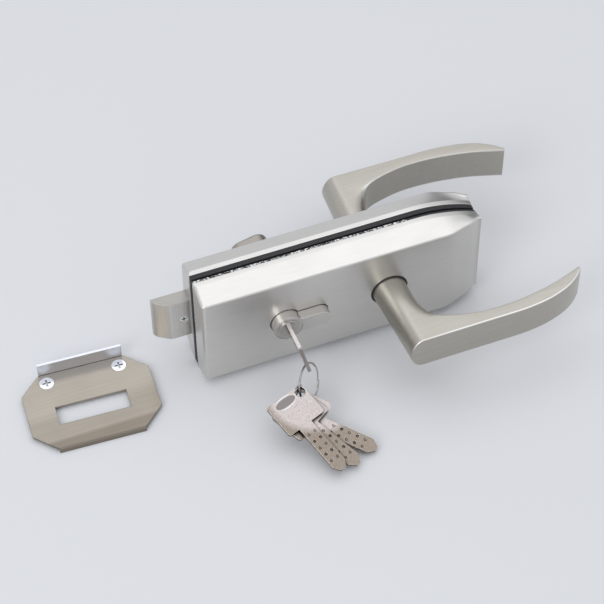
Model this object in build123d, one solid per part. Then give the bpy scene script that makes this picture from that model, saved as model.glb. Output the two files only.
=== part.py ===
from build123d import *
import math
import os

os.makedirs("parts", exist_ok=True)

# Millimetres. X runs along the case, from the latch bolt to the levers.
# Y is square to the glass, front at -Y. Z is up. The origin is the middle of the glass seat.

# Case
case_length = 165.0
case_height = 70.5
cover_depth = 14.4
cover_wall = 1.5
rim_land = 3.0
wall_draft = 5.0
face_edge_radius = 1.2
end_edge_radius = 2.2
rim_turn_length = 37.5
rim_turn_radius = 82.0
bevel_length = 20.1
bevel_angle = 19.5
bevel_blend = 20.0
face_edge_drop = 1.15
edge_inset = 0.3
glass_seat_gap = 0.4
gasket_thick = 2.9
front_sheet_thick = 1.0
front_plate_thick = 1.5
plate_thick = 1.2
pad_length = 41.5
pad_gap = 0.5
tongue_inset = 5.0
part_clearance = 0.2
screw_clearance = 0.2
fit_clearance = 0.05

# Lock works
bolt_half_height = 14.0
bolt_thick = 8.0
bolt_reach = 20.2
bolt_tail_depth = 15.0
bolt_screw_reach = 4.0
bolt_screw_radius = 2.5
bolt_screw_length = 6.0
cross_thick = 2.8
rail_inner = 15.0
rail_outer = 21.0
rail_thick = 3.0
lug_length = 4.0
lug_edge = 6.25
lug_depth = 7.2
hub_radius = 11.0
boss_radius = 8.0
arm_radius = 28.0
arm_half_width = 3.0
arm_thick = 3.0
arm_play = 0.8
spring_radius = 1.9
spring_bore = 1.2
spring_z = 12.2
spring_length = 56.7
spring_lug_length = 3.0
slide_low = 14.5
slide_high = 20.0
slide_length = 39.0
slide_overhang = 12.4
pillar_radius = 3.0
pillar_left_inset = 12.5
pillar_right_inset = 24.5
pillar_edge = 8.75
cap_end_inset = 20.5
cap_edge = 6.25
clamp_radius = 2.0
clamp_head_radius = 3.6
clamp_head_height = 3.2
clamp_end_gap = 1.0

# Cylinder, keys and thumbturn
cylinder_inset = 46.9
cylinder_radius = 8.5
cylinder_fin = 10.0
cylinder_height = 33.0
cylinder_half_length = 23.0
cylinder_hole_gap = 0.4
plug_radius = 6.15
plug_face_lip = 0.6
plug_ring_radius = 7.7
cam_thick = 4.0
cam_gap = 0.2
cam_radius = 8.2
cam_nose_radius = 14.0
cam_nose_half_width = 2.9
spindle_turn_radius = 5.0
cylinder_screw_offset = 17.6
cylinder_screw_radius = 2.0
key_angle = 76.0
key_thick = 2.0
key_width = 8.5
key_in_plug = 29.5
key_neck = 2.0
bow_width = 24.5
bow_depth = 20.0
bow_offset = 1.5
bow_corner = 1.5
key_hole_radius = 3.0
key_hole_u = 10.2
key_hole_v = 3.6
key_slot_gap = 0.1
bow_recess_length = 13.0
bow_recess_width = 4.5
bow_recess_depth = 0.3
ring_radius = 11.0
ring_wire = 1.2
ring_lean = 20.0
stack_pitch = 2.1
bunch_offset = (-6.4, -9.0, -15.3)
bunch_yaw = 18.4
bunch_slope = 16.8
bunch_roll = -2.4
spare_turns = (2.5, 13.5, 29.5)
spare_shifts = ((0.0, 0.0), (0.05, -1.2), (0.75, -1.9))
turn_knob_width = 22.0
turn_knob_height = 19.0
turn_knob_depth = 13.0
turn_knob_corner = 6.5
turn_boss_radius = 8.0
turn_boss_length = 3.0
turn_taper = 5.0
turn_edge_radius = 1.5

# Levers
lever_inset = 57.0
neck_radius = 9.7
neck_top_width = 14.4
lever_height = 21.0
lever_reach = 65.3
lever_length = 100.0
lever_tip_thick = 1.6
arm_straight = 58.5
arm_sweep = 15.6
arm_root_thick = 9.8
arm_middle_thick = 6.7
bend_length = 24.5
bend_depth = 17.0
spindle_size = 8.0
spindle_half_length = 50.0
spindle_gap = 0.05
neck_end = 13.9
circlip_y = 14.2
circlip_thick = 1.0
circlip_outer = 12.0
groove_depth = 0.8
bush_ring = 1.05
bush_flange = 1.8
bush_flange_thick = 0.45
lever_grub_y = 30.0
lever_grub_radius = 2.4
return_spring_radius = 12.6
return_wire = 0.7
return_turns = 3
return_pitch = 2.0

# Cover screws
grub_radius = 1.6
grub_length = 5.0
grub_y = 7.0
grub_inset = 22.5
grub_pitch = 62.0
tab_width = 8.0
tab_depth = 6.0
tab_thick = 3.0

# Strike
strike_x = -145.4
strike_y = -6.2
strike_turn = -3.3
strike_length = 72.0
strike_width = 51.0
strike_chamfer = 11.5
strike_thick = 1.5
strike_slot_length = 40.0
strike_slot_width = 12.4
strike_slot_y = -4.2
strike_screw_pitch = 41.0
strike_screw_y = 19.6
strike_screw_head = 4.2
strike_screw_radius = 2.0
bracket_length = 47.7
bracket_height = 11.5
bracket_leg = 14.0
bracket_thick = 1.5

# Places that follow from the sizes
half_length = case_length / 2
half_height = case_height / 2
rim_turn_x = half_length - rim_turn_length
bevel_start_x = half_length - bevel_length
plate_end_x = half_length - pad_length
bolt_tip_x = -half_length - bolt_reach
bolt_tail_x = -half_length + bolt_tail_depth
bolt_screw_x = -half_length - bolt_screw_reach
spring_lug_x = bolt_tail_x + cross_thick + spring_length
cylinder_x = -half_length + cylinder_inset
slide_left_x = cylinder_x - slide_overhang
slide_right_x = slide_left_x + slide_length
cylinder_screw_x = cylinder_x + cylinder_screw_offset
lever_x = half_length - lever_inset
lever_tip_x = lever_x + lever_length
pillar_left_x = -half_length + pillar_left_inset
pillar_right_x = half_length - pillar_right_inset
pillar_z = half_height - pillar_edge
cap_end_x = half_length - cap_end_inset
cap_half_height = half_height - cap_edge
lug_outer = half_height - lug_edge
grub_x = (-half_length + grub_inset, -half_length + grub_inset + grub_pitch)
table_z = -half_height
rim_y = gasket_thick
land_y = rim_y + rim_land
face_y = rim_y + cover_depth
face_inner_y = face_y - cover_wall
face_half = half_height - wall_draft
plate_y = gasket_thick + plate_thick
bolt_front_y = plate_y + part_clearance
bolt_back_y = bolt_front_y + bolt_thick
cap_y = bolt_back_y + part_clearance
cap_back_y = cap_y + plate_thick
front_sheet_y = glass_seat_gap + front_sheet_thick
front_plate_y = front_sheet_y + front_plate_thick
cam_y = bolt_back_y - 0.1 - cam_thick
fin_half = cylinder_fin / 2
fin_end_x = cylinder_x + cylinder_height - cylinder_radius - fin_half
hole_radius = neck_radius + bush_ring + fit_clearance
bow_top_y = -cylinder_half_length - plug_face_lip - part_clearance - key_neck - bow_depth
bunch_hole = (cylinder_x + bunch_offset[0], bow_top_y + bunch_offset[1], bunch_offset[2])
pillar_spots = [(x, s * pillar_z) for x in (pillar_left_x, pillar_right_x) for s in (-1, 1)]


def save(node, shapes):
    """Writes one node. A list becomes a group of separate solids."""
    shape = shapes if not isinstance(shapes, list) else Compound(children=shapes)
    export_step(shape, os.path.join("parts", node + ".step"))


def block(x0, x1, y0, y1, z0, z1):
    size = (x1 - x0, y1 - y0, z1 - z0)
    middle = ((x0 + x1) / 2, (y0 + y1) / 2, (z0 + z1) / 2)
    return Pos(*middle) * Box(*size)


def rod(x, z, radius, y0, y1):
    """Round bar along Y."""
    return Pos(x, (y0 + y1) / 2, z) * Rot(X=90) * Cylinder(radius, y1 - y0)


def post(x, y, radius, z0, z1):
    """Round bar along Z."""
    return Pos(x, y, (z0 + z1) / 2) * Cylinder(radius, z1 - z0)


def flat(sketch, y0, y1):
    """Sheet between two depths, from an outline drawn in X and Z."""
    return extrude(Plane((0, y0, 0), x_dir=(1, 0, 0), z_dir=(0, -1, 0)) * sketch, y0 - y1)


def front_of(shape):
    return mirror(shape, about=Plane.XZ)


def rim_drop(x):
    if x <= rim_turn_x:
        return 0.0
    return rim_turn_radius - math.sqrt(rim_turn_radius ** 2 - (x - rim_turn_x) ** 2)


def face_depth(x):
    """Distance of the cover's face from the glass seat: flat, a blend, then the bevel."""
    slope = math.radians(bevel_angle)
    tangent = bevel_blend * math.tan(slope / 2)
    first = bevel_start_x - tangent
    last = bevel_start_x + tangent * math.cos(slope)
    if x <= first:
        return face_y
    if x <= last:
        return face_y - bevel_blend + math.sqrt(bevel_blend ** 2 - (x - first) ** 2)
    return face_y - (x - bevel_start_x) * math.tan(slope)


def face_half_at(x):
    share = max(0.0, x - bevel_start_x) / (half_length - bevel_start_x)
    return face_half - face_edge_drop * share


def cover_section(x, inset):
    """Outline of the cover square to X, drawn for the back cover."""
    rim = half_height - rim_drop(x) - inset
    start = rim_y - inset
    depth = face_depth(x) - inset
    edge = face_half_at(x) - inset
    half = [(start, rim), (land_y, rim), (depth, edge)]
    points = half + [(y, -z) for y, z in reversed(half)]
    outline = Polygon(*points, align=None)
    corners = outline.vertices().sort_by(Axis.X)[-2:]
    outline = fillet(corners, max(face_edge_radius - inset / 2, 0.3))
    return Plane.YZ.offset(x) * outline


def cover_form(inset):
    """The cover's solid form: a straight run, then the drawn-in lever end."""
    left = -half_length + inset
    right = half_length - inset
    run = extrude(cover_section(left, inset), rim_turn_x - left, dir=(1, 0, 0))
    span = right - rim_turn_x
    stations = [rim_turn_x + span * share for share in (0, 0.02, 0.15, 0.3, 0.42, 0.55, 0.7, 0.85, 1.0)]
    end = loft([cover_section(x, inset).faces()[0] for x in stations])
    return run + end


def rim_outline(inset, left, right):
    """Outline of a sheet that follows the covers' rims, in X and Z."""
    steps = 7
    start = max(left, rim_turn_x)
    top = []
    if right > rim_turn_x:
        top = [(start + (right - start) * i / steps) for i in range(steps + 1)]
    upper = [(x, half_height - rim_drop(x) - inset) for x in top]
    lower = [(x, -z) for x, z in reversed(upper)]
    if left >= rim_turn_x:
        lines = Spline(*upper) + Line(upper[-1], lower[0]) + Spline(*lower) + Line(lower[-1], upper[0])
        return make_face(lines)
    high = half_height - inset
    if not upper:
        return make_face(Polyline((left, -high), (left, high), (right, high), (right, -high), close=True))
    curve_up = Spline(*upper, tangents=[(1, 0), (1, -0.5)])
    curve_down = Spline(*lower, tangents=[(-1, -0.5), (-1, 0)])
    straight = Polyline(lower[-1], (left, -high), (left, high), upper[0])
    return make_face(curve_up + Line(upper[-1], lower[0]) + curve_down + straight)


def cylinder_outline(gap):
    """Profile of the cylinder, the round part at the left and its fin to the right."""
    round_part = Pos(cylinder_x, 0) * Circle(cylinder_radius + gap)
    fin_length = fin_end_x - cylinder_x
    fin = Pos((cylinder_x + fin_end_x) / 2, 0) * Rectangle(fin_length, cylinder_fin + 2 * gap)
    tip = Pos(fin_end_x, 0) * Circle(fin_half + gap)
    return round_part + fin + tip


def cylinder_cut(gap, y0, y1):
    return flat(cylinder_outline(gap), y0, y1)


def make_cover():
    shell = cover_form(0)
    face_edges = shell.edges().filter_by(Axis.Z).filter_by(lambda e: e.center().X < -half_length + 0.1)
    face_edges = face_edges.filter_by(lambda e: e.center().Y > land_y)
    shell = fillet(face_edges, end_edge_radius)
    shell -= cover_form(cover_wall)
    shell -= cylinder_cut(cylinder_hole_gap, face_inner_y - 1, face_y + 1)
    shell -= rod(lever_x, 0, hole_radius, face_inner_y - 1, face_y + 1)
    for x in grub_x:
        shell -= post(x, grub_y, grub_radius + screw_clearance, table_z - 1, table_z + 3)
    return shell


def make_back_cover():
    cover = make_cover()
    gap = part_clearance
    slot = block(-half_length - 1, -half_length + cover_wall + 1, bolt_front_y - gap, bolt_back_y + gap,
                 -bolt_half_height - gap, bolt_half_height + gap)
    cover -= slot
    cover -= post(cylinder_screw_x, cam_y + cam_thick / 2, cylinder_screw_radius + screw_clearance,
                  table_z - 1, table_z + 6)
    return cover


def clamp_holes(y0, y1, gap):
    return [rod(x, z, clamp_radius + gap, y0, y1) for x, z in pillar_spots]


def make_front_plate():
    y0, y1 = -front_plate_y, -front_sheet_y
    plate = flat(rim_outline(edge_inset, -half_length + edge_inset, plate_end_x), y0, y1)
    tongue_end = half_length - tongue_inset
    plate += flat(rim_outline(tongue_inset, plate_end_x - 2, tongue_end), y0, y1)
    for x in grub_x:
        plate += cover_tab(x, y0, y0 - tab_depth)
    plate -= cylinder_cut(cylinder_hole_gap, y0 - 1, y1 + 1)
    plate -= rod(lever_x, 0, boss_radius + 1, y0 - 1, y1 + 1)
    for hole in clamp_holes(y0 - 1, y1 + 1, screw_clearance):
        plate -= hole
    return plate


def cover_tab(x, y_plate, y_end):
    """Bent tab under a cover's lower wall, threaded for the grub screw."""
    low = table_z + cover_wall + wall_draft * (grub_y + tab_depth / 2 - rim_y) / cover_depth
    y0, y1 = min(y_plate, y_end), max(y_plate, y_end)
    tab = block(x - tab_width / 2, x + tab_width / 2, y0, y1, low, low + tab_thick)
    y = grub_y if y_end > 0 else -grub_y
    return tab - post(x, y, grub_radius, low - 1, low + tab_thick + 1)


def make_front_gasket():
    y0, y1 = -front_plate_y, -front_sheet_y
    pad = flat(rim_outline(edge_inset, plate_end_x + pad_gap + 4, half_length - edge_inset), y0, y1)
    pad += block(plate_end_x + pad_gap, rim_turn_x + 1, y0, y1, -half_height + edge_inset,
                 half_height - edge_inset)
    inner_end = half_length - tongue_inset
    pad -= flat(rim_outline(tongue_inset - fit_clearance, plate_end_x - 2, inner_end + fit_clearance),
                y0 - 1, y1 + 1)
    sheet = flat(rim_outline(2.0, -half_length + 2.0, half_length - 2.0), y1, -glass_seat_gap)
    gasket = pad + sheet
    gasket -= cylinder_cut(cylinder_hole_gap, y0 - 1, 0)
    gasket -= rod(lever_x, 0, boss_radius + 1, y0 - 1, 0)
    for hole in clamp_holes(y0 - 1, 0, screw_clearance):
        gasket -= hole
    return gasket


def make_back_gasket():
    y1 = gasket_thick
    gasket = flat(rim_outline(edge_inset, -half_length + edge_inset, half_length - edge_inset), 0, y1)
    gasket -= cylinder_cut(cylinder_hole_gap, -1, y1 + 1)
    gasket -= rod(lever_x, 0, boss_radius + 1, -1, y1 + 1)
    for hole in clamp_holes(-1, y1 + 1, screw_clearance):
        gasket -= hole
    return gasket


def make_back_plate():
    y0, y1 = gasket_thick, plate_y
    inset = cover_wall + part_clearance
    plate = flat(rim_outline(inset, -half_length + inset, half_length - inset), y0, y1)
    for x in grub_x:
        plate += cover_tab(x, y1, y1 + tab_depth)
    for side in (-1, 1):
        middle = side * spring_z
        plate += block(spring_lug_x, spring_lug_x + spring_lug_length, y1, y1 + 2 * spring_radius,
                       middle - spring_radius, middle + spring_radius)
    plate -= cylinder_cut(cylinder_hole_gap, y0 - 1, y1 + 1)
    plate -= rod(lever_x, 0, boss_radius + fit_clearance, y0 - 1, y1 + 1)
    for hole in clamp_holes(y0 - 1, y1 + 1, screw_clearance):
        plate -= hole
    return plate


def make_case_cap():
    left = -half_length + cover_wall + part_clearance
    cap = block(left, cap_end_x, cap_y, cap_back_y, -cap_half_height, cap_half_height)
    cap = fillet(cap.edges().filter_by(Axis.Y), 3)
    cap -= cylinder_cut(cylinder_hole_gap, cap_y - 1, cap_back_y + 1)
    cap -= rod(lever_x, 0, boss_radius + fit_clearance, cap_y - 1, cap_back_y + 1)
    return cap


def make_clamp(x, z):
    """Screw through both plates, head under the front cover, with a hexagon socket."""
    head_y = -front_plate_y - clamp_head_height
    screw = rod(x, z, clamp_head_radius, head_y, -front_plate_y)
    screw += rod(x, z, clamp_radius, -front_plate_y, cap_y - clamp_end_gap)
    socket = Pos(x, z) * RegularPolygon(1.9, 6)
    return screw - flat(socket, head_y - 1, head_y + 1.8)


def make_pillar(x, z):
    return rod(x, z, pillar_radius, plate_y, cap_y) - rod(x, z, clamp_radius, plate_y - 1, cap_y - 0.5)


def make_grub(x, y):
    depth = abs(y)
    low = -(half_height - wall_draft * (depth - land_y) / (face_y - land_y)) + 0.6
    screw = post(x, y, grub_radius, low, low + grub_length)
    return screw - Pos(x, y, low + 0.6) * extrude(RegularPolygon(0.9, 6), 1.2, both=True)


def make_latch_bolt():
    """Sprung bolt: flat behind, with the curved lead-in on the front."""
    tip = bolt_tip_x
    front, back = bolt_front_y, bolt_back_y
    curve = Spline((tip + 10.2, front), (tip + 6.6, front + 1.1), (tip + 4.2, front + 2.7),
                   (tip + 1.9, front + 4.4), (tip, back - 0.3), tangents=[(-1, 0), (-0.3, 1)])
    edge = Polyline((tip, back - 0.3), (tip + 0.3, back), (bolt_tail_x, back), (bolt_tail_x, front),
                    (tip + 10.2, front))
    bolt = extrude(make_face(curve + edge), bolt_half_height, both=True)
    seat = rod(bolt_screw_x, 0, bolt_screw_radius, front - 1, front + 1.4)
    hole = rod(bolt_screw_x, 0, bolt_screw_radius * 0.6, front, front + bolt_screw_length)
    return bolt - seat - hole


def make_latch_screw():
    y = bolt_front_y
    screw = rod(bolt_screw_x, 0, bolt_screw_radius, y + 0.05, y + 1.4)
    screw += rod(bolt_screw_x, 0, bolt_screw_radius * 0.6, y + 1.4, y + bolt_screw_length)
    for w, h in ((0.6, 3.0), (3.0, 0.6)):
        screw -= block(bolt_screw_x - w / 2, bolt_screw_x + w / 2, y - 1, y + 0.8, -h / 2, h / 2)
    return screw


def make_latch_tail():
    """Yoke behind the bolt: a cross piece, two rails and the lugs that the follower pulls."""
    y0 = plate_y + part_clearance
    y1 = y0 + rail_thick
    lug_x = lever_x + arm_half_width + arm_play
    tail = block(bolt_tail_x, bolt_tail_x + cross_thick, y0, y1, -rail_outer, rail_outer)
    for side in (-1, 1):
        low, high = sorted((side * rail_inner, side * rail_outer))
        tail += block(bolt_tail_x, lug_x + lug_length, y0, y1, low, high)
        low, high = sorted((side * rail_inner, side * lug_outer))
        tail += block(lug_x, lug_x + lug_length, y0, y0 + lug_depth, low, high)
    return tail


def make_follower():
    """Hub with a square hole, turned by the lever spindle, with an arm up and an arm down."""
    hub = rod(lever_x, 0, hub_radius, plate_y + part_clearance, bolt_back_y - 0.1)
    hub += rod(lever_x, 0, boss_radius, plate_y - plate_thick + 0.1, cap_back_y - 0.1)
    arm_y = bolt_back_y - part_clearance - arm_thick
    for side in (-1, 1):
        low, high = sorted((0, side * arm_radius))
        hub += block(lever_x - arm_half_width, lever_x + arm_half_width, arm_y, arm_y + arm_thick, low, high)
    half = spindle_size / 2 + spindle_gap
    return hub - block(lever_x - half, lever_x + half, 0, face_y, -half, half)


def make_latch_spring(side):
    y = plate_y + spring_radius
    x0 = bolt_tail_x + cross_thick
    tube = Cylinder(spring_radius - 0.05, spring_lug_x - x0) - Cylinder(spring_bore, spring_lug_x - x0 + 2)
    return Pos((x0 + spring_lug_x) / 2, y, side * spring_z) * Rot(Y=90) * tube


def make_locking_slide():
    y0 = plate_y + part_clearance + rail_thick + part_clearance
    bar = block(slide_left_x, slide_right_x, y0, bolt_back_y - 0.1, slide_low, slide_high)
    return chamfer(bar.edges().filter_by(Axis.Y), 1.0)


def make_cylinder_body():
    body = cylinder_cut(0, -cylinder_half_length, cylinder_half_length)
    body -= rod(cylinder_x, 0, cam_nose_radius + 0.4, cam_y - cam_gap, cam_y + cam_thick + cam_gap)
    body -= rod(cylinder_x, 0, plug_radius + fit_clearance, -cylinder_half_length - 1, cam_y)
    body -= rod(cylinder_x, 0, spindle_turn_radius + fit_clearance, cam_y, cylinder_half_length + 1)
    face_y0 = -cylinder_half_length
    groove = rod(cylinder_x, 0, plug_ring_radius + 0.25, face_y0 - 1, face_y0 + 0.3)
    groove -= rod(cylinder_x, 0, plug_ring_radius - 0.25, face_y0 - 2, face_y0 + 1)
    body -= groove
    screw_y = cam_y + cam_thick / 2
    body -= post(cylinder_screw_x, screw_y, cylinder_screw_radius, -fin_half - 1, 0.5)
    return body


def make_cylinder_screw():
    y = cam_y + cam_thick / 2
    low = -(half_height - wall_draft * (y - land_y) / (face_y - land_y)) + 0.3
    screw = post(cylinder_screw_x, y, cylinder_screw_radius, low, 0)
    return screw - Pos(cylinder_screw_x, y, low + 0.6) * extrude(RegularPolygon(1.2, 6), 1.2, both=True)


def in_plug(shape):
    """Turns a shape drawn with the key's width along X into the plug's rest angle."""
    return Pos(cylinder_x, 0, 0) * Rot(Y=key_angle) * shape


def make_plug():
    y0 = -cylinder_half_length
    y1 = cam_y - cam_gap - 0.1
    plug = rod(cylinder_x, 0, plug_radius, y0 - plug_face_lip, y1)
    wide = key_width / 2 + key_slot_gap
    thin = key_thick / 2 + key_slot_gap
    way = block(-wide, wide, y0 - 2, y0 + key_in_plug + 0.5, -thin, thin)
    mouth = block(-wide - 0.5, wide + 0.5, y0 - 2, y0 - plug_face_lip + 0.5, -thin - 0.4, thin + 0.4)
    return plug - in_plug(way + mouth)


def key_outline():
    """Key seen flat: bow at the top, blade towards -Y, the hole in one corner of the bow."""
    bow_left = -bow_width / 2 + bow_offset
    bow_right = bow_width / 2 + bow_offset
    bow = Pos((bow_left + bow_right) / 2, -bow_depth / 2) * Rectangle(bow_width, bow_depth)
    bow = fillet(bow.vertices(), bow_corner)
    half = key_width / 2
    length = bow_depth + key_neck + key_in_plug
    tip = Polyline((-half, -bow_depth + 1), (-half, -length + 4), (-1.2, -length), (1.2, -length),
                   (half, -length + 4), (half, -bow_depth + 1), close=True)
    hole = Pos(key_hole_u, -key_hole_v) * Circle(key_hole_radius)
    return bow + make_face(tip) - hole


def make_key():
    """One key, with the dimples of its blade and a plain oval recess in the bow."""
    key = extrude(key_outline(), key_thick / 2, both=True)
    top = key_thick / 2
    recess_x = key_hole_u - key_hole_radius - 0.8 - bow_recess_length / 2
    oval = Pos(recess_x, -bow_recess_width / 2 - 1.4) * SlotOverall(bow_recess_length, bow_recess_width)
    for z in (top, -top):
        key -= Pos(0, 0, z) * extrude(oval, bow_recess_depth, both=True)
    first = bow_depth + key_neck + 3.5
    for row in (-1, 1):
        for i in range(5):
            depth = 0.45 if (i + row) % 2 else 0.7
            key -= Pos(row * 2.1, -first - i * 4.6, top) * Cone(0.4, 1.5, depth * 2)
    return key


def make_inserted_key(key):
    """The key pushed home, its blade towards +Y and its shoulder against the plug."""
    return in_plug(Pos(0, bow_top_y, 0) * Rot(X=180) * key)


def hole_place():
    return Pos(-key_hole_u, key_hole_v, 0)


def spare_hole(number):
    """Place of one spare key's hole, with the key's own lie."""
    stack = Pos(*bunch_hole) * Rot(Z=bunch_yaw) * Rot(X=bunch_slope) * Rot(Y=bunch_roll)
    x, y = spare_shifts[number]
    return stack * Pos(x, y, -number * stack_pitch) * Rot(Z=spare_turns[number])


def make_spare_key(key, number):
    return spare_hole(number) * hole_place() * key


def make_key_ring():
    """Split ring drawn as one closed loop, leaning through the inserted key's hole and the spare ones."""
    place = in_plug(Pos(key_hole_u, 0, 0) * Sphere(0.1)).center()
    a = Vector(place.X, bow_top_y + key_hole_v, place.Z)
    b = spare_hole(1).position
    chord = b - a
    sag = math.sqrt(ring_radius ** 2 - (chord.length / 2) ** 2)
    across = chord.cross(Vector(0, 0, 1)).normalized()
    down = chord.cross(across).normalized()
    lean = math.radians(ring_lean)
    middle = (a + b) * 0.5 + (down * math.cos(lean) - across * math.sin(lean)) * sag
    plane = Plane(origin=middle, x_dir=chord, z_dir=chord.cross(middle - a))
    return plane * Torus(ring_radius, ring_wire / 2)


def make_cam():
    cam = rod(cylinder_x, 0, cam_radius, cam_y, cam_y + cam_thick)
    nose = block(-cam_nose_half_width, cam_nose_half_width, cam_y, cam_y + cam_thick, 0,
                 cam_nose_radius - cam_nose_half_width)
    tip = rod(0, cam_nose_radius - cam_nose_half_width, cam_nose_half_width, cam_y, cam_y + cam_thick)
    return cam + Pos(cylinder_x, 0, 0) * (nose + tip)


def make_turn_spindle():
    return rod(cylinder_x, 0, spindle_turn_radius, cam_y + cam_thick, cylinder_half_length + 1)


def make_thumbturn():
    """Wide knob on a round boss, narrowing towards the boss."""
    y0 = cylinder_half_length + 1
    y1 = y0 + turn_boss_length
    y2 = y1 + turn_knob_depth
    outline = RectangleRounded(turn_knob_width, turn_knob_height, turn_knob_corner)
    face = Plane((cylinder_x, y2, 0), x_dir=(1, 0, 0), z_dir=(0, -1, 0)) * Rot(Z=90 - key_angle) * outline
    knob = extrude(face, turn_knob_depth, taper=turn_taper)
    knob = fillet(knob.faces().sort_by(Axis.Y)[-1].edges(), turn_edge_radius)
    return knob + rod(cylinder_x, 0, turn_boss_radius, y0, y1)


def oval(centre, across, half_across, half_z, power):
    """Closed outline in the plane of Z and a direction in X and Y, from round to nearly square."""
    points = []
    for i in range(16):
        angle = 2 * math.pi * i / 16
        c, s = math.cos(angle), math.sin(angle)
        u = half_across * math.copysign(abs(c) ** (2 / power), c)
        w = half_z * math.copysign(abs(s) ** (2 / power), s)
        points.append(Vector(*centre, 0) + Vector(*across, 0) * u + Vector(0, 0, w))
    return make_face(Spline(*points, periodic=True))


def make_lever():
    """Lever for the back: a round neck, an elbow and an arm that curves back to a thin tip."""
    half = lever_height / 2
    top = lever_reach
    low = Plane((lever_x, face_y, 0), x_dir=(1, 0, 0), z_dir=(0, 1, 0)) * Circle(neck_radius)
    high = Plane((lever_x, top, 0), x_dir=(1, 0, 0), z_dir=(0, 1, 0)) * Ellipse(neck_top_width / 2, half)
    lever = loft([low.faces()[0], high.faces()[0]])
    bend_end = (lever_x + bend_length, top - arm_root_thick)
    bend_middle = (lever_x + bend_length * 0.52, top - arm_root_thick - bend_depth * 0.33)
    bend_start = (lever_x + neck_radius - 1.4, top - arm_root_thick - bend_depth)
    inner = ThreePointArc(bend_start, bend_middle, bend_end)
    outer = [(lever_x - 8.2, bend_start[1]), (lever_x - 5.5, top - 10), (lever_x + 9, top - 0.5),
             (bend_end[0] - 2, top - 0.5)]
    sections = []
    for (xo, yo), share, power in zip(outer, (0, 0.35, 0.7, 1.0), (2.0, 2.2, 3.2, 7.0)):
        corner = inner @ share
        wide = math.hypot(corner.X - xo, corner.Y - yo)
        across = ((corner.X - xo) / wide, (corner.Y - yo) / wide)
        half_z = neck_radius + (half - 0.05 - neck_radius) * (0.6 + 0.4 * share)
        sections.append(oval(((corner.X + xo) / 2, (corner.Y + yo) / 2), across, wide / 2, half_z, power))
    lever += loft(sections)
    tip = (lever_tip_x, top - arm_sweep)
    tip_inner = (tip[0] - 0.7, tip[1] - lever_tip_thick)
    straight_end = (lever_x + arm_straight, top)
    arm_middle = (lever_x + bend_length + (tip_inner[0] - bend_end[0]) * 0.48, top - arm_middle_thick)
    back = TangentArc(straight_end, tip, tangent=(1, 0))
    front = ThreePointArc(tip_inner, arm_middle, bend_end)
    close = Polyline(bend_end, (lever_x, top - arm_root_thick * 0.55), (lever_x, top), straight_end)
    lever += extrude(make_face(back + Line(tip, tip_inner) + front + close), half, both=True)
    lever += rod(lever_x, 0, neck_radius, neck_end, face_y)
    groove = rod(lever_x, 0, neck_radius + 1, circlip_y, circlip_y + circlip_thick)
    lever -= groove - rod(lever_x, 0, neck_radius - groove_depth, circlip_y - 1, circlip_y + 3)
    side = spindle_size / 2 + spindle_gap
    lever -= block(lever_x - side, lever_x + side, 0, spindle_half_length + 0.5, -side, side)
    lever -= post(lever_x, lever_grub_y, lever_grub_radius, -half - 1, 0)
    return lever


def make_spindle():
    side = spindle_size / 2
    end = spindle_half_length
    bar = block(lever_x - side, lever_x + side, -end, end, -side, side)
    return chamfer(bar.edges().filter_by(Axis.Y), 0.4)


def make_circlip():
    """Spring ring in the neck's groove, open at the bottom."""
    y0, y1 = circlip_y, circlip_y + circlip_thick
    clip = rod(lever_x, 0, circlip_outer, y0, y1)
    clip -= rod(lever_x, 0, neck_radius - groove_depth, y0 - 1, y1 + 1)
    return clip - block(lever_x - 3, lever_x + 3, y0 - 1, y1 + 1, -circlip_outer - 1, 0)


def make_bush():
    inner = neck_radius + fit_clearance
    outer = neck_radius + bush_ring
    y0 = face_inner_y - bush_flange_thick
    bush = rod(lever_x, 0, outer, y0, face_y - 0.2)
    bush += rod(lever_x, 0, outer + bush_flange, y0, face_inner_y)
    return bush - rod(lever_x, 0, inner, y0 - 1, face_y + 1)


def make_lever_grub():
    low = -neck_radius + 0.5
    screw = post(lever_x, lever_grub_y, lever_grub_radius - 0.02, low, -spindle_size / 2)
    return screw - Pos(lever_x, lever_grub_y, low) * extrude(RegularPolygon(1.4, 6), 2.0, both=True)


def make_lever_spring():
    """Torsion spring around the front neck, drawn as the space that its turns fill."""
    y1 = circlip_y - part_clearance
    y0 = y1 - return_turns * return_pitch
    sleeve = rod(lever_x, 0, return_spring_radius + return_wire, -y1, -y0)
    return sleeve - rod(lever_x, 0, return_spring_radius - return_wire, -y1 - 1, -y0 + 1)


def strike_place(shape):
    return Pos(strike_x, strike_y, table_z) * Rot(Z=strike_turn) * shape


def make_strike_plate():
    """Eight-sided plate with the bolt's slot, its front edge bent slightly down."""
    low = bracket_thick
    outline = Rectangle(strike_length, strike_width)
    outline = chamfer(outline.vertices(), strike_chamfer)
    slot = Pos(0, strike_slot_y) * Rectangle(strike_slot_length, strike_slot_width)
    plate = Pos(0, 0, low) * extrude(outline - slot, strike_thick)
    lip_length = strike_length - 2 * strike_chamfer - 1
    y = -strike_width / 2
    lip = Polyline((y, low), (y, low + strike_thick), (y - 1.0, low + strike_thick - 0.8),
                   (y - 1.4, 0), (y - 0.2, 0), close=True)
    plate += extrude(Plane((-lip_length / 2, 0, 0), x_dir=(0, 1, 0), z_dir=(1, 0, 0)) * make_face(lip), lip_length)
    for side in (-1, 1):
        x = side * strike_screw_pitch / 2
        plate -= Pos(x, strike_screw_y, low + strike_thick / 2) * Cone(strike_screw_radius, strike_screw_head,
                                                                      strike_thick)
    return plate


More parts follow.
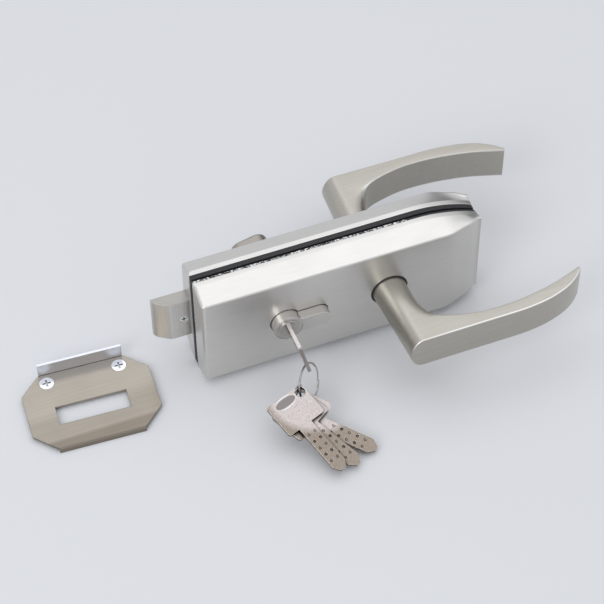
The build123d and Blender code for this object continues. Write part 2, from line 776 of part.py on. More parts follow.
def make_strike_bracket():
    """Angle under the plate's back edge, with its flange standing up."""
    y1 = strike_width / 2 + bracket_thick + part_clearance
    leg = Pos(0, y1 - bracket_leg / 2, bracket_thick / 2) * Box(bracket_length, bracket_leg, bracket_thick)
    flange = Pos(0, y1 - bracket_thick / 2, bracket_height / 2) * Box(bracket_length, bracket_thick, bracket_height)
    bracket = leg + flange
    for side in (-1, 1):
        bracket -= Pos(side * strike_screw_pitch / 2, strike_screw_y, 0) * Cylinder(strike_screw_radius, 8)
    return bracket


def make_strike_screw(side):
    low = bracket_thick
    head = Pos(0, 0, low + strike_thick / 2) * Cone(strike_screw_radius, strike_screw_head, strike_thick)
    stem = Pos(0, 0, low / 2 + 0.05) * Cylinder(strike_screw_radius, low - 0.1)
    cross = Box(0.9, 4.6, 1.2) + Box(4.6, 0.9, 1.2)
    screw = head + stem - Pos(0, 0, low + strike_thick) * cross
    return Pos(side * strike_screw_pitch / 2, strike_screw_y, 0) * screw


def build():
    cover = make_cover()
    save("front_cover", front_of(cover))
    save("back_cover", make_back_cover())
    save("front_plate", make_front_plate())
    save("front_gasket", make_front_gasket())
    save("back_gasket", make_back_gasket())
    save("back_plate", make_back_plate())
    save("case_cap", make_case_cap())
    save("clamp_screws", [make_clamp(x, z) for x, z in pillar_spots])
    save("clamp_pillars", [make_pillar(x, z) for x, z in pillar_spots])
    save("cover_grub_screws", [make_grub(x, y) for x in grub_x for y in (-grub_y, grub_y)])
    save("latch_bolt", make_latch_bolt())
    save("latch_screw", make_latch_screw())
    save("latch_tail", make_latch_tail())
    save("latch_springs", [make_latch_spring(side) for side in (-1, 1)])
    save("follower", make_follower())
    save("locking_slide", make_locking_slide())
    save("cylinder_body", make_cylinder_body())
    save("cylinder_screw", make_cylinder_screw())
    save("plug", make_plug())
    key = make_key()
    save("inserted_key", make_inserted_key(key))
    for number in range(len(spare_turns)):
        save("spare_key_" + str(number + 1), make_spare_key(key, number))
    save("key_ring", make_key_ring())
    save("cam", make_cam())
    save("thumbturn_spindle", make_turn_spindle())
    save("thumbturn", make_thumbturn())
    lever = make_lever()
    save("back_lever", lever)
    save("front_lever", front_of(lever))
    save("spindle", make_spindle())
    clip = make_circlip()
    save("circlips", [clip, front_of(clip)])
    bush = make_bush()
    save("back_lever_bush", bush)
    save("front_lever_bush", front_of(bush))
    grub = make_lever_grub()
    save("lever_grub_screws", [grub, front_of(grub)])
    save("lever_spring", make_lever_spring())
    save("strike_plate", strike_place(make_strike_plate()))
    save("strike_bracket", strike_place(make_strike_bracket()))
    save("strike_screws", [strike_place(make_strike_screw(side)) for side in (-1, 1)])


build()
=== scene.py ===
import math
import bpy
from mathutils import Euler, Matrix, Vector


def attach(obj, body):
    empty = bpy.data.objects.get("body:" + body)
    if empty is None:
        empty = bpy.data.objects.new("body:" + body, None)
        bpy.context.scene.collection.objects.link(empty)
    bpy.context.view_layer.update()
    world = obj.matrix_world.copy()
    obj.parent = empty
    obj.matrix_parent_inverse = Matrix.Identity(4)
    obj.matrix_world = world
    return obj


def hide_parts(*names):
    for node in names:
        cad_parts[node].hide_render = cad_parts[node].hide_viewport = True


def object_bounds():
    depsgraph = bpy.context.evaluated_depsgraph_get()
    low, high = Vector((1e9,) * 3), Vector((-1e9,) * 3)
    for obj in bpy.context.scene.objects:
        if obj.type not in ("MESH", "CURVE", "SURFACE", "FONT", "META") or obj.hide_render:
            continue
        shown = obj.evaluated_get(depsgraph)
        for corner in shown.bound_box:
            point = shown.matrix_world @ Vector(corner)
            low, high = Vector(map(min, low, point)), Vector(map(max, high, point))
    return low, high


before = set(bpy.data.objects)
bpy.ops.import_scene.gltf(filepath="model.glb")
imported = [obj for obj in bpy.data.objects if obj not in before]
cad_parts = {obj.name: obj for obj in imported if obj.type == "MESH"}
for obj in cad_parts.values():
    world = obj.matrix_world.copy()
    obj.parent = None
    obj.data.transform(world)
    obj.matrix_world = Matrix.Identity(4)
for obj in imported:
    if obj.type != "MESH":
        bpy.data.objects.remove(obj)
cad_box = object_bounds()
scene = bpy.context.scene
scene.view_settings.view_transform = "Standard"

# Camera
# A long lens looks down on the lock from the key side, standing to the left of the latch.
camera_place = Vector((-0.2727, -0.6720, 0.83465))
camera_azimuth = math.radians(20.65)
camera_elevation = math.radians(49.63)
camera_roll = math.radians(-0.68)
camera_lens = 119.22
sensor_width = 36.0
lens = bpy.data.cameras.new("camera")
lens.sensor_width = sensor_width
lens.lens = camera_lens
camera = bpy.data.objects.new("camera", lens)
scene.collection.objects.link(camera)
tilt = Euler((math.pi / 2 - camera_elevation, 0, -camera_azimuth)).to_matrix()
camera.rotation_euler = (tilt @ Matrix.Rotation(camera_roll, 3, "Z")).to_euler()
camera.location = camera_place
scene.camera = camera

# Table and light
# A plain pale table under one large soft lamp and a smaller one from the key side, in a pale room
# that the metal mirrors. A dark card that only mirrored rays see shades the covers' drawn-in end.
table_colour = (0.815, 0.832, 0.868)
table_size = 6.0
table_gap = 0.0002
room_light = 0.55
lowest = cad_box[0][2]
bpy.ops.object.select_all(action="DESELECT")
bpy.ops.mesh.primitive_plane_add(size=table_size, location=(0, 0, lowest - table_gap))
table = bpy.context.object
table.name = "table"
table_paint = bpy.data.materials.new("table_paint")
table_paint.use_nodes = True
tree = table_paint.node_tree
paint = tree.nodes["Principled BSDF"]
paint.inputs["Base Color"].default_value = (*table_colour, 1)
paint.inputs["Roughness"].default_value = 0.9
paint.inputs["Specular IOR Level"].default_value = 0.1
table.data.materials.append(table_paint)

room = bpy.data.worlds.new("room")
room.use_nodes = True
scene.world = room
tree = room.node_tree
sky = tree.nodes["Background"]
sky.inputs["Color"].default_value = (0.97, 0.98, 1.0, 1)
sky.inputs["Strength"].default_value = room_light
ray = tree.nodes.new("ShaderNodeLightPath")
pale = tree.nodes.new("ShaderNodeBackground")
pale.inputs["Color"].default_value = (*table_colour, 1)
pale.inputs["Strength"].default_value = 1.0
seen = ray.outputs["Is Camera Ray"]
for kind in ("Is Transmission Ray", "Is Glossy Ray"):
    either = tree.nodes.new("ShaderNodeMath")
    either.operation = "MAXIMUM"
    tree.links.new(seen, either.inputs[0])
    tree.links.new(ray.outputs[kind], either.inputs[1])
    seen = either.outputs[0]
choose = tree.nodes.new("ShaderNodeMixShader")
tree.links.new(seen, choose.inputs[0])
tree.links.new(sky.outputs[0], choose.inputs[1])
tree.links.new(pale.outputs[0], choose.inputs[2])
tree.links.new(choose.outputs[0], tree.nodes["World Output"].inputs[0])


def soft_lamp(name, place, size, power):
    """A round lamp that points at the middle of the lock."""
    lamp = bpy.data.lights.new(name, "AREA")
    lamp.shape = "DISK"
    lamp.size = size
    lamp.energy = power
    holder = bpy.data.objects.new(name, lamp)
    scene.collection.objects.link(holder)
    holder.location = place
    aim = -Vector(place)
    holder.rotation_euler = aim.to_track_quat("-Z", "Y").to_euler()


soft_lamp("top_lamp", (0.10, 0.20, 1.5), 2.3, 8.4)
soft_lamp("side_lamp", (-1.3, -0.9, 1.1), 1.0, 7.5)
card_place = (0.80, 0.62, 0.16)
card_width = 1.0
card_height = 0.42
card_turn = math.radians(128)
bpy.ops.object.select_all(action="DESELECT")
bpy.ops.mesh.primitive_plane_add(size=1.0, location=card_place)
dark_card = bpy.context.object
dark_card.name = "dark_card"
dark_card.rotation_euler = (math.pi / 2, 0, card_turn)
dark_card.scale = (card_width, card_height, 1.0)
for kind in ("camera", "diffuse", "shadow", "transmission", "volume_scatter"):
    setattr(dark_card, "visible_" + kind, False)
card_paint = bpy.data.materials.new("card_paint")
card_paint.use_nodes = True
paint = card_paint.node_tree.nodes["Principled BSDF"]
paint.inputs["Base Color"].default_value = (0.06, 0.06, 0.06, 1)
paint.inputs["Roughness"].default_value = 0.9
dark_card.data.materials.append(card_paint)

# Covers
# Two pressed steel shells, mirror images, brushed along the case. Each is held by two grub
# screws in its lower wall. Their edges carry a painted highlight.


def satin_metal(name, colour, roughness, along, grain=0.0005, streak=0.05, depth=0.000012, edge=0.00035,
                contrast=0.06):
    """Metal with a fine brushed grain along one axis and slightly softened edges."""
    material = bpy.data.materials.new(name)
    material.use_nodes = True
    tree = material.node_tree
    shader = tree.nodes["Principled BSDF"]
    shader.inputs["Metallic"].default_value = 1.0
    place = tree.nodes.new("ShaderNodeTexCoord")
    stretch = tree.nodes.new("ShaderNodeMapping")
    scale = [1 / grain] * 3
    scale[along] = 1 / streak
    stretch.inputs["Scale"].default_value = scale
    tree.links.new(place.outputs["Object"], stretch.inputs["Vector"])
    hairs = tree.nodes.new("ShaderNodeTexNoise")
    hairs.inputs["Scale"].default_value = 1.0
    hairs.inputs["Detail"].default_value = 4.0
    tree.links.new(stretch.outputs["Vector"], hairs.inputs["Vector"])
    cloud = tree.nodes.new("ShaderNodeTexNoise")
    cloud.inputs["Scale"].default_value = 38.0
    cloud.inputs["Detail"].default_value = 3.0
    tree.links.new(place.outputs["Object"], cloud.inputs["Vector"])
    tone = tree.nodes.new("ShaderNodeValToRGB")
    tone.color_ramp.elements[0].position = 0.3
    tone.color_ramp.elements[0].color = (*[c * (1 - contrast) for c in colour], 1)
    tone.color_ramp.elements[1].position = 0.7
    tone.color_ramp.elements[1].color = (*[min(1.0, c * (1 + contrast)) for c in colour], 1)
    tree.links.new(hairs.outputs["Fac"], tone.inputs["Fac"])
    tree.links.new(tone.outputs["Color"], shader.inputs["Base Color"])
    dull = tree.nodes.new("ShaderNodeMapRange")
    dull.inputs["From Min"].default_value = 0.3
    dull.inputs["From Max"].default_value = 0.7
    dull.inputs["To Min"].default_value = roughness - 0.05
    dull.inputs["To Max"].default_value = roughness + 0.06
    tree.links.new(cloud.outputs["Fac"], dull.inputs["Value"])
    tree.links.new(dull.outputs["Result"], shader.inputs["Roughness"])
    soften = tree.nodes.new("ShaderNodeBevel")
    soften.samples = 6
    soften.inputs["Radius"].default_value = edge
    bump = tree.nodes.new("ShaderNodeBump")
    bump.inputs["Strength"].default_value = 1.0
    bump.inputs["Distance"].default_value = depth
    tree.links.new(hairs.outputs["Fac"], bump.inputs["Height"])
    tree.links.new(soften.outputs["Normal"], bump.inputs["Normal"])
    tree.links.new(bump.outputs["Normal"], shader.inputs["Normal"])
    return material


def dress(material, *nodes):
    """Gives one finish to carried-over nodes."""
    for node in nodes:
        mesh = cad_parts[node].data
        mesh.materials.clear()
        mesh.materials.append(material)


def tint_where(material, factor, colour, way="MULTIPLY"):
    """Multiplies a finish by a colour, or covers it, where the factor is one."""
    tree = material.node_tree
    base = tree.nodes["Principled BSDF"].inputs["Base Color"]
    blend = tree.nodes.new("ShaderNodeMix")
    blend.data_type = "RGBA"
    blend.blend_type = way
    blend.inputs["B"].default_value = (*colour, 1)
    tree.links.new(factor, blend.inputs["Factor"])
    tree.links.new(base.links[0].from_socket, blend.inputs["A"])
    tree.links.new(blend.outputs["Result"], base)


def ramp(material, value, start, end, top=1.0):
    """Goes from nought to the top while a value goes from start to end."""
    node = material.node_tree.nodes.new("ShaderNodeMapRange")
    node.inputs["From Min"].default_value = start
    node.inputs["From Max"].default_value = end
    node.inputs["To Max"].default_value = top
    material.node_tree.links.new(value, node.inputs["Value"])
    return node.outputs["Result"]


def paint_edge_highlights(material, radius, colour, strength):
    """Paints a highlight on the edges, where the rounded normal turns away from the flat one."""
    tree = material.node_tree
    round_off = tree.nodes.new("ShaderNodeBevel")
    round_off.samples = 6
    round_off.inputs["Radius"].default_value = radius
    flat = tree.nodes.new("ShaderNodeNewGeometry")
    compare = tree.nodes.new("ShaderNodeVectorMath")
    compare.operation = "DOT_PRODUCT"
    tree.links.new(round_off.outputs["Normal"], compare.inputs[0])
    tree.links.new(flat.outputs["True Normal"], compare.inputs[1])
    tint_where(material, ramp(material, compare.outputs["Value"], 0.96, 0.80, strength), colour, "MIX")


def paint_nook_shade(material, distance, start, end, colour):
    """Paints shade into narrow places and between parts."""
    nook = material.node_tree.nodes.new("ShaderNodeAmbientOcclusion")
    nook.samples = 8
    nook.inputs["Distance"].default_value = distance
    tint_where(material, ramp(material, nook.outputs["AO"], start, end), colour)


ALONG_X, ALONG_Y, ALONG_Z = 0, 1, 2
cover_steel = satin_metal("cover_steel", (0.66, 0.645, 0.62), 0.33, ALONG_X, streak=0.012, depth=0.000006,
                          edge=0.0006, contrast=0.03)
# The covers' edges get a painted highlight.
paint_edge_highlights(cover_steel, 0.0006, (0.95, 0.95, 0.95), 0.6)
dress(cover_steel, "front_cover", "back_cover")

# Plates and works
# Zinc plated steel: the back plate, the works' lid, the latch's yoke, the follower, the cam and the
# locking slide, stamped and left unpolished. The front plate shows the torn edge that its shear left,
# its light grains painted glints.
plate_steel = satin_metal("plate_steel", (0.42, 0.42, 0.42), 0.45, ALONG_X, grain=0.0008, streak=0.003,
                          depth=0.00006)
dress(plate_steel, "back_plate", "case_cap", "latch_tail", "follower", "cam", "locking_slide")


def torn_edge_with_glints(name, dark, light, grain):
    """Steel whose sheared edge is torn into dark grains, with light grains that are painted glints."""
    material = bpy.data.materials.new(name)
    material.use_nodes = True
    tree = material.node_tree
    shader = tree.nodes["Principled BSDF"]
    shader.inputs["Metallic"].default_value = 0.7
    shader.inputs["Roughness"].default_value = 0.4
    place = tree.nodes.new("ShaderNodeTexCoord")
    speck = tree.nodes.new("ShaderNodeTexNoise")
    speck.inputs["Scale"].default_value = 1 / grain
    speck.inputs["Detail"].default_value = 2.0
    speck.inputs["Roughness"].default_value = 0.7
    tree.links.new(place.outputs["Object"], speck.inputs["Vector"])
    tone = tree.nodes.new("ShaderNodeValToRGB")
    tone.color_ramp.elements[0].position = 0.48
    tone.color_ramp.elements[0].color = (dark, dark, dark, 1)
    tone.color_ramp.elements[1].position = 0.57
    tone.color_ramp.elements[1].color = (light, light, light, 1)
    tree.links.new(speck.outputs["Fac"], tone.inputs["Fac"])
    tree.links.new(tone.outputs["Color"], shader.inputs["Base Color"])
    bump = tree.nodes.new("ShaderNodeBump")
    bump.inputs["Distance"].default_value = 0.0004
    tree.links.new(speck.outputs["Fac"], bump.inputs["Height"])
    tree.links.new(bump.outputs["Normal"], shader.inputs["Normal"])
    return material


# The dark grains are the torn edge; the light grains are painted glints.
torn_steel_with_glints = torn_edge_with_glints("torn_steel_with_glints", 0.04, 0.75, 0.0013)
dress(torn_steel_with_glints, "front_plate")

# Screws, spindle and springs
# Turned steel screws and pillars and the square spindle. The screws that show are zinc plated, with
# painted shade in their crosses, and the springs and circlips are bright.
screw_steel = satin_metal("screw_steel", (0.50, 0.50, 0.50), 0.30, ALONG_Y, streak=0.004)
dress(screw_steel, "clamp_screws", "clamp_pillars", "cover_grub_screws", "cylinder_screw",
      "lever_grub_screws", "spindle")
zinc_screw = satin_metal("zinc_screw", (0.85, 0.86, 0.87), 0.18, ALONG_Y, streak=0.002)
# Painted shade in the screws' crosses.
paint_nook_shade(zinc_screw, 0.0012, 0.9, 0.4, (0.12, 0.12, 0.12))
dress(zinc_screw, "latch_screw", "strike_screws")
spring_steel = satin_metal("spring_steel", (0.62, 0.62, 0.62), 0.16, ALONG_X, streak=0.002, depth=0.000004)
dress(spring_steel, "circlips", "latch_springs", "lever_spring")

# Gaskets and bushes
# Black rubber sheets that grip the glass, and nylon rings that the lever necks turn in. Both are
# moulded, with a fine grain.


def black_moulding(name, colour, roughness, grain, depth):
    """Black rubber or plastic with a speckled, slightly rough skin."""
    material = bpy.data.materials.new(name)
    material.use_nodes = True
    tree = material.node_tree
    shader = tree.nodes["Principled BSDF"]
    place = tree.nodes.new("ShaderNodeTexCoord")
    speck = tree.nodes.new("ShaderNodeTexNoise")
    speck.inputs["Scale"].default_value = 1 / grain
    speck.inputs["Detail"].default_value = 5.0
    tree.links.new(place.outputs["Object"], speck.inputs["Vector"])
    tone = tree.nodes.new("ShaderNodeValToRGB")
    tone.color_ramp.elements[0].position = 0.35
    tone.color_ramp.elements[0].color = (*[c * 0.6 for c in colour], 1)
    tone.color_ramp.elements[1].position = 0.7
    tone.color_ramp.elements[1].color = (*[c * 1.7 for c in colour], 1)
    tree.links.new(speck.outputs["Fac"], tone.inputs["Fac"])
    tree.links.new(tone.outputs["Color"], shader.inputs["Base Color"])
    shader.inputs["Roughness"].default_value = roughness
    bump = tree.nodes.new("ShaderNodeBump")
    bump.inputs["Distance"].default_value = depth
    tree.links.new(speck.outputs["Fac"], bump.inputs["Height"])
    tree.links.new(bump.outputs["Normal"], shader.inputs["Normal"])
    return material


gasket_rubber = black_moulding("gasket_rubber", (0.018, 0.018, 0.020), 0.6, 0.0006, 0.00008)
dress(gasket_rubber, "front_gasket", "back_gasket")
bush_nylon = black_moulding("bush_nylon", (0.012, 0.012, 0.012), 0.45, 0.0004, 0.00002)
dress(bush_nylon, "front_lever_bush", "back_lever_bush")

# Cylinder, plug and thumbturn
# Nickel plated brass. The body's flat faces are milled, the plug's face is turned, and the
# thumbturn is satin. The body, the thumbturn's spindle and the plug carry a painted highlight on their
# edges.
cylinder_nickel = satin_metal("cylinder_nickel", (0.60, 0.58, 0.55), 0.34, ALONG_X, streak=0.02)
# Painted highlight on the edges of the body and the thumbturn's spindle.
paint_edge_highlights(cylinder_nickel, 0.0005, (0.90, 0.89, 0.87), 0.6)
dress(cylinder_nickel, "cylinder_body", "thumbturn_spindle")
plug_nickel = satin_metal("plug_nickel", (0.55, 0.53, 0.50), 0.26, ALONG_Y, streak=0.004)
# Painted highlight on the plug's edges.
paint_edge_highlights(plug_nickel, 0.0004, (0.92, 0.91, 0.89), 0.7)
dress(plug_nickel, "plug")
turn_nickel = satin_metal("turn_nickel", (0.34, 0.31, 0.28), 0.36, ALONG_X, streak=0.02)
dress(turn_nickel, "thumbturn")

# Levers
# Solid castings with a satin nickel finish, slightly warm. The round neck grows out of the bush, is
# cut flat in front and sweeps into an arm that narrows to a thin tip. One skin, worked out row by
# row, gives the smooth elbow. A grub screw sits in the underside.
lever_nickel = satin_metal("lever_nickel", (0.455, 0.435, 0.388), 0.32, ALONG_X, grain=0.0005, streak=0.03)
# A painted highlight along the lever's rounded edges and fillet, carried by a point attribute.
painted_highlight = lever_nickel.node_tree.nodes.new("ShaderNodeAttribute")
painted_highlight.attribute_name = "painted_highlight"
tint_where(lever_nickel, painted_highlight.outputs["Fac"], (0.97, 0.96, 0.94), "MIX")

# Millimetres, with Y away from the glass.
lever_axis = 25.5
neck_end = 13.9
neck_face = 17.3
neck_radius = 9.7
neck_top_half_width = 7.2
lever_front = 65.3
lever_half_height = 10.5
flat_start, flat_full = 24, 44
front_fillet = 0.9
# A fillet takes this share of the wall at most.
fillet_share = 0.45
# The painted highlight on the inner edge starts where the casting is this square, and is full at the second
# value.
highlight_start, highlight_full = 6, 14
highlight_width = 0.45
grub_place = (0.0255, 0.030, -0.010)
grub_radius = 0.0024
grub_depth = 0.012
# Each row: a point of the edge that faces the glass, the matching point of the outer edge, and how
# square the casting is there, from 2 for round. The outer edge turns its corner at one row.
lever_rows = [
    (35.2, neck_end, 15.8, neck_end, 2), (35.2, neck_face, 15.8, neck_face, 2),
    (35.1, 25, 16.2, 25, 2), (35.25, 32, 16.56, 32, 2), (35.7, 38, 16.98, 40, 2.3),
    (36.4, 42.5, 17.4, 48, 3), (37.2, 45.8, 17.82, 56, 4.5), (38.3, 48.4, 18.3, lever_front, 8),
    (39.8, 50.3, 25, lever_front, 13), (41.8, 51.8, 31, lever_front, 18),
    (44.5, 53.2, 37.5, lever_front, 22), (48.5, 54.6, 45, lever_front, 24),
    (55.8, 56.4, 54.5, lever_front, 24), (63, 57.6, 63, lever_front, 24),
    (70.2, 58.0, 71, lever_front, 24), (78, 57.9, 79.5, lever_front, 24),
    (86, 57.3, 88, 65.0, 24), (96.5, 55.8, 98.5, 63.7, 24), (104, 54.3, 107, 61.5, 24),
    (111.2, 52.4, 114.3, 58.6, 24), (118.5, 50.1, 120.8, 54.4, 24), (124.7, 48.1, 125.4, 49.7, 24)]
corner_row = 7
last_row = len(lever_rows) - 1


def from_nought_to_one(value, start, full):
    return min(1, max(0, (value - start) / (full - start)))


def smooth_step(share):
    return share * share * (3 - 2 * share)


def between(index, share, first, last):
    """A smooth row between two lever rows, which doesn't look past the rows first and last."""
    before = lever_rows[max(first, index - 1)]
    after = lever_rows[min(last, index + 2)]
    row = []
    for a, b, c, d in zip(before, lever_rows[index], lever_rows[index + 1], after):
        low, high = (c - a) / 2, (d - b) / 2
        curve = 3 * (c - b) - 2 * low - high + share * (2 * (b - c) + low + high)
        row.append(b + share * (low + share * curve))
    return row


def neck_half_width(y):
    return neck_radius - (neck_radius - neck_top_half_width) * from_nought_to_one(y, neck_face, lever_front)


def half_height(x, y):
    """Half the height of the casting over a point: an oval neck that turns into a flat arm."""
    neck = neck_radius + (lever_half_height - neck_radius) * from_nought_to_one(y, neck_face, lever_front)
    top = neck + (lever_half_height - neck) * smooth_step(from_nought_to_one(x, flat_start, flat_full))
    if x >= lever_axis:
        return top
    return top * math.sqrt(max(0.0, 1 - ((lever_axis - x) / neck_half_width(y)) ** 2))


def inner_half(edge, middle, square, count):
    """Points (x, y, half height, painted highlight) from the edge that faces the glass to the middle."""
    top = half_height(*middle)
    sharp = from_nought_to_one(square, highlight_start, highlight_full)
    points = []
    for k in range(count + 1):
        turn = math.pi / 2 * k / count
        share = 1 - math.cos(turn) ** (2 / square)
        highlight = max(0.0, 1 - abs(turn - math.pi / 4) / highlight_width) * sharp
        x, y = (e + (m - e) * share for e, m in zip(edge, middle))
        points.append((x, y, top * math.sin(turn) ** (2 / square), highlight))
    return points


def outer_half(middle, edge, fillet, count):
    """Points (x, y, half height, painted highlight) from the middle to the outer edge, with its fillet."""
    width = math.dist(middle, edge)
    points = []
    for k in range(1, count + 1):
        share = math.sin(math.pi / 2 * k / count)
        x, y = (m + (e - m) * share for m, e in zip(middle, edge))
        depth = max(0.0, fillet - width * (1 - share))
        drop = fillet - math.sqrt(max(0.0, fillet * fillet - depth * depth))
        highlight = max(0.0, 1 - abs(2 * depth / fillet - 1)) if depth > 0 else 0.0
        points.append((x, y, half_height(x, y) - drop, highlight))
    return points


def lever_section(index, share):
    """The casting's upper outline at one place, from the edge that faces the glass outwards."""
    on_neck = index < corner_row
    first, last = (0, corner_row) if on_neck else (corner_row, last_row)
    inner_x, inner_y, _, _, square = between(index, share, 0, last_row)
    _, _, outer_x, outer_y, _ = between(index, share, first, last)
    if on_neck:
        outer_x = lever_axis - neck_half_width(outer_y)
    inner, outer = (inner_x, inner_y), (outer_x, outer_y)
    middle = ((inner_x + outer_x) / 2, (inner_y + outer_y) / 2)
    wall = half_height(*outer)
    room = fillet_share * min(wall, math.dist(middle, outer))
    fillet = 0.0 if on_neck else min(front_fillet, room)
    return inner_half(inner, middle, square, 14) + outer_half(middle, outer, fillet, 22)


def cast_lever(name, side, node, steps=6):
    """One lever, with its skin mirrored in height; side is -1 for the key side."""
    sections = [lever_section(index, step / steps) for index in range(last_row) for step in range(steps)]
    sections.append(lever_section(last_row - 1, 1.0))
    across = len(sections[0])
    loop = 2 * across
    points, faces, highlight = [], [], []
    for section in sections:
        points += [(x / 1000, side * y / 1000, z / 1000) for x, y, z, _ in section]
        points += [(x / 1000, side * y / 1000, -z / 1000) for x, y, z, _ in reversed(section)]
        highlight += [share for _, _, _, share in section + section[::-1]]
    for row in range(len(sections) - 1):
        for k in range(loop):
            a, b = row * loop + k, row * loop + (k + 1) % loop
            faces.append((a, b, b + loop, a + loop))
    for start in (0, (len(sections) - 1) * loop):
        for k in range(across - 1):
            low, far = start + k, start + loop - 1 - k
            faces.append((low, low + 1, far - 1, far))
    mesh = bpy.data.meshes.new(name)
    mesh.from_pydata(points, [], faces)
    mesh.attributes.new("painted_highlight", "FLOAT", "POINT").data.foreach_set("value", highlight)
    lever = bpy.data.objects.new(name, mesh)
    close_skin(lever)
    drill_grub_hole(lever, side)
    finish_piece(lever, lever_nickel, "levers", node)


def close_skin(piece):
    """Links a piece, merges the points that fall together and turns its faces outwards."""
    scene.collection.objects.link(piece)
    bpy.ops.object.select_all(action="DESELECT")
    bpy.context.view_layer.objects.active = piece
    piece.select_set(True)
    bpy.ops.object.mode_set(mode="EDIT")
    bpy.ops.mesh.select_all(action="SELECT")
    bpy.ops.mesh.remove_doubles(threshold=0.000002)
    bpy.ops.mesh.select_all(action="SELECT")
    bpy.ops.mesh.normals_make_consistent(inside=False)
    bpy.ops.object.mode_set(mode="OBJECT")


def drill_grub_hole(lever, side):
    x, y, z = grub_place
    bpy.ops.object.select_all(action="DESELECT")
    bpy.ops.mesh.primitive_cylinder_add(vertices=48, radius=grub_radius, depth=grub_depth,
                                        location=(x, side * y, z))
    drill = bpy.context.object
    bpy.context.view_layer.objects.active = lever
    hole = lever.modifiers.new("grub_hole", "BOOLEAN")
    hole.operation = "DIFFERENCE"
    hole.solver = "EXACT"
    hole.object = drill
    bpy.ops.object.modifier_apply(modifier="grub_hole")
    bpy.data.objects.remove(drill)


def finish_piece(piece, material, body, node):
    """Smooths a new piece, gives it its finish and puts it in a carried-over node's place."""
    bpy.ops.object.select_all(action="DESELECT")
    bpy.context.view_layer.objects.active = piece
    piece.select_set(True)
    bpy.ops.object.shade_smooth_by_angle(angle=math.radians(32))
    piece.data.materials.append(material)
    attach(piece, body)
    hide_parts(node)


cast_lever("front_lever_casting", -1, "front_lever")
cast_lever("back_lever_casting", 1, "back_lever")

# Latch bolt
# A cast bolt, nickel plated, with the curved lead-in facing the closing side. Its top carries
# painted shade, where it lies in shadow.
bolt_nickel = satin_metal("bolt_nickel", (0.64, 0.62, 0.59), 0.34, ALONG_Z, streak=0.02)
tree = bolt_nickel.node_tree
facing = tree.nodes.new("ShaderNodeSeparateXYZ")
tree.links.new(tree.nodes["Texture Coordinate"].outputs["Normal"], facing.inputs["Vector"])
# Painted shade on the faces that look up.
tint_where(bolt_nickel, ramp(bolt_nickel, facing.outputs["Z"], 0.5, 0.8), (0.60, 0.60, 0.59))
dress(bolt_nickel, "latch_bolt")

# Keys
# Flat keys stamped from nickel silver, with drilled dimples along the blade. The blades are milled
# and darker than the bows. Painted shade darkens the narrow places, the gaps between the keys and the
# top bow's recess, and painted highlights lie on the recess's rim and on the edges.
plain_key = satin_metal("plain_key", (0.56, 0.52, 0.50), 0.27, ALONG_Y, streak=0.004, contrast=0.15)
# Painted highlight on the inserted key's edges.
paint_edge_highlights(plain_key, 0.0004, (0.97, 0.95, 0.92), 0.8)
dress(plain_key, "inserted_key")
key_nickel = satin_metal("key_nickel", (0.47, 0.425, 0.41), 0.27, ALONG_Y, grain=0.0004, streak=0.0016,
                         contrast=0.2)
tree = key_nickel.node_tree
place = tree.nodes["Texture Coordinate"]


def distance_from(point):
    """How far a place on the keys is from a point."""
    away = tree.nodes.new("ShaderNodeVectorMath")
    away.operation = "DISTANCE"
    away.inputs[1].default_value = point
    tree.links.new(place.outputs["Object"], away.inputs[0])
    return away.outputs["Value"]


bow_middle = (-0.0365, -0.052, -0.022)
bow_reach = 0.024
blade_start = 0.028
on_blade = ramp(key_nickel, distance_from(bow_middle), bow_reach, blade_start)
tint_where(key_nickel, on_blade, (0.56, 0.52, 0.45))
# Painted shade in the dimples, the narrow places and between the stacked keys.
paint_nook_shade(key_nickel, 0.0024, 0.95, 0.55, (0.10, 0.09, 0.08))
# The recess is an oval: the two distances from its focal points have a fixed sum on its rim.
recess_middle = Vector((-0.05161, -0.05858, -0.01519))
recess_along = Vector((-0.9378, -0.3432, -0.0527))
recess_focus = 0.0061
recess_sum = tree.nodes.new("ShaderNodeMath")
recess_sum.operation = "ADD"
for index, end in enumerate((-1, 1)):
    focus = recess_middle + recess_along * recess_focus * end
    tree.links.new(distance_from(focus), recess_sum.inputs[index])
recess_rim_highlight = ramp(key_nickel, recess_sum.outputs["Value"], 0.0141, 0.0137)
recess_floor_shade = ramp(key_nickel, recess_sum.outputs["Value"], 0.0136, 0.0130)
# Painted highlight on the recess's rim and painted shade on its floor.
tint_where(key_nickel, recess_rim_highlight, (0.70, 0.67, 0.65), "MIX")
tint_where(key_nickel, recess_floor_shade, (0.21, 0.19, 0.185), "MIX")
# Painted highlight on the spare keys' edges, dimple rims included.
paint_edge_highlights(key_nickel, 0.0004, (0.98, 0.94, 0.86), 0.9)
dress(key_nickel, "spare_key_1", "spare_key_2", "spare_key_3")

# Split ring
# Hard steel wire, flattened and wound twice, so that its two turns lie side by side. The inserted
# key and the three spare keys hang on it.
ring_steel = satin_metal("ring_steel", (0.40, 0.39, 0.38), 0.22, ALONG_X, streak=0.002, depth=0.000004)
ring_middle = Vector((-0.0339639, -0.0476505, -0.0194155))
ring_right = Vector((-0.490938, -0.749223, -0.444572)).normalized()
ring_face = Vector((0.702647, -0.642207, 0.306362)).normalized()
ring_up = ring_face.cross(ring_right)
ring_radius = 0.011
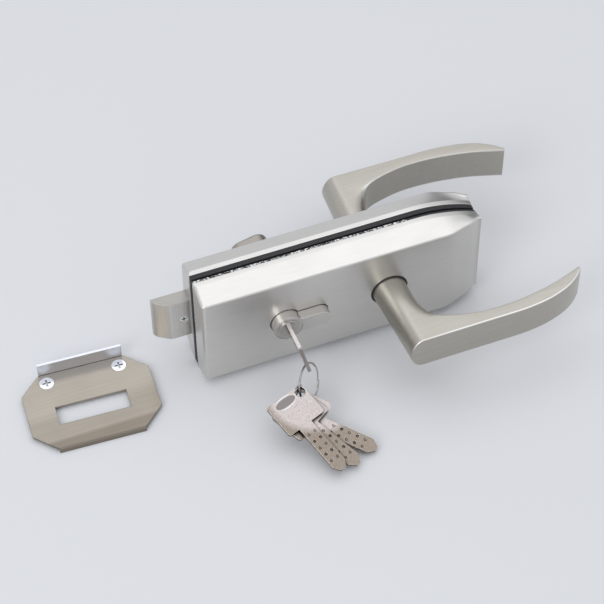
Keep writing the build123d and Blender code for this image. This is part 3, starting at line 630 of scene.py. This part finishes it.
# Millimetres: out from the ring's middle line, and over along its axis.
wire_section = [(0.46, 0.14), (0.46, -0.14), (0.32, -0.23), (-0.32, -0.23),
                (-0.46, -0.14), (-0.46, 0.14), (-0.32, 0.23), (0.32, 0.23)]
turn_lift = 0.00025
step_half = 0.42
step_place = 2.4
ring_parts = 240
points, faces = [], []
for index in range(ring_parts + 1):
    turn = step_half + (4 * math.pi - 2 * step_half) * index / ring_parts
    crossing = from_nought_to_one(turn, 2 * math.pi - step_half, 2 * math.pi + step_half)
    lift = (smooth_step(crossing) * 2 - 1) * turn_lift
    spoke = ring_right * math.cos(turn + step_place) + ring_up * math.sin(turn + step_place)
    for out, over in wire_section:
        points.append(ring_middle + spoke * (ring_radius + out / 1000) + ring_face * (lift + over / 1000))
corners = len(wire_section)
for index in range(ring_parts):
    for k in range(corners):
        a, b = index * corners + k, index * corners + (k + 1) % corners
        faces.append((a, b, b + corners, a + corners))
faces.append(tuple(range(corners)))
faces.append(tuple(range(ring_parts * corners, (ring_parts + 1) * corners)))
mesh = bpy.data.meshes.new("split_ring")
mesh.from_pydata(points, [], faces)
split_ring = bpy.data.objects.new("split_ring", mesh)
close_skin(split_ring)
finish_piece(split_ring, ring_steel, "key_bunch", "key_ring")

# Strike
# An eight-sided steel plate on an angle bracket, held by two countersunk cross screws. The plate
# carries a band of painted shade along its fold line, and painted shade that deepens towards its front
# edge.
strike_steel = satin_metal("strike_steel", (0.385, 0.35, 0.30), 0.33, ALONG_X)
strike_front = min(corner[1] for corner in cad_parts["strike_plate"].bound_box)
fold_shade_line = strike_front + 0.0085
fold_shade_blur = 0.001
shade_start, shade_full = strike_front + 0.030, strike_front + 0.022
tree = strike_steel.node_tree
split = tree.nodes.new("ShaderNodeSeparateXYZ")
tree.links.new(tree.nodes["Texture Coordinate"].outputs["Object"], split.inputs["Vector"])
# A band of painted shade along the fold line, and painted shade towards the front edge.
fold_shade = ramp(strike_steel, split.outputs["Y"], fold_shade_line + fold_shade_blur, fold_shade_line - fold_shade_blur)
shade = ramp(strike_steel, split.outputs["Y"], shade_start, shade_full)
tint_where(strike_steel, fold_shade, (0.74, 0.72, 0.70))
tint_where(strike_steel, shade, (0.86, 0.85, 0.84))
dress(strike_steel, "strike_plate")
bracket_steel = satin_metal("bracket_steel", (0.78, 0.80, 0.86), 0.36, ALONG_X)
# Painted highlight on the bracket's edges.
paint_edge_highlights(bracket_steel, 0.0005, (0.97, 0.97, 0.98), 0.8)
dress(bracket_steel, "strike_bracket")
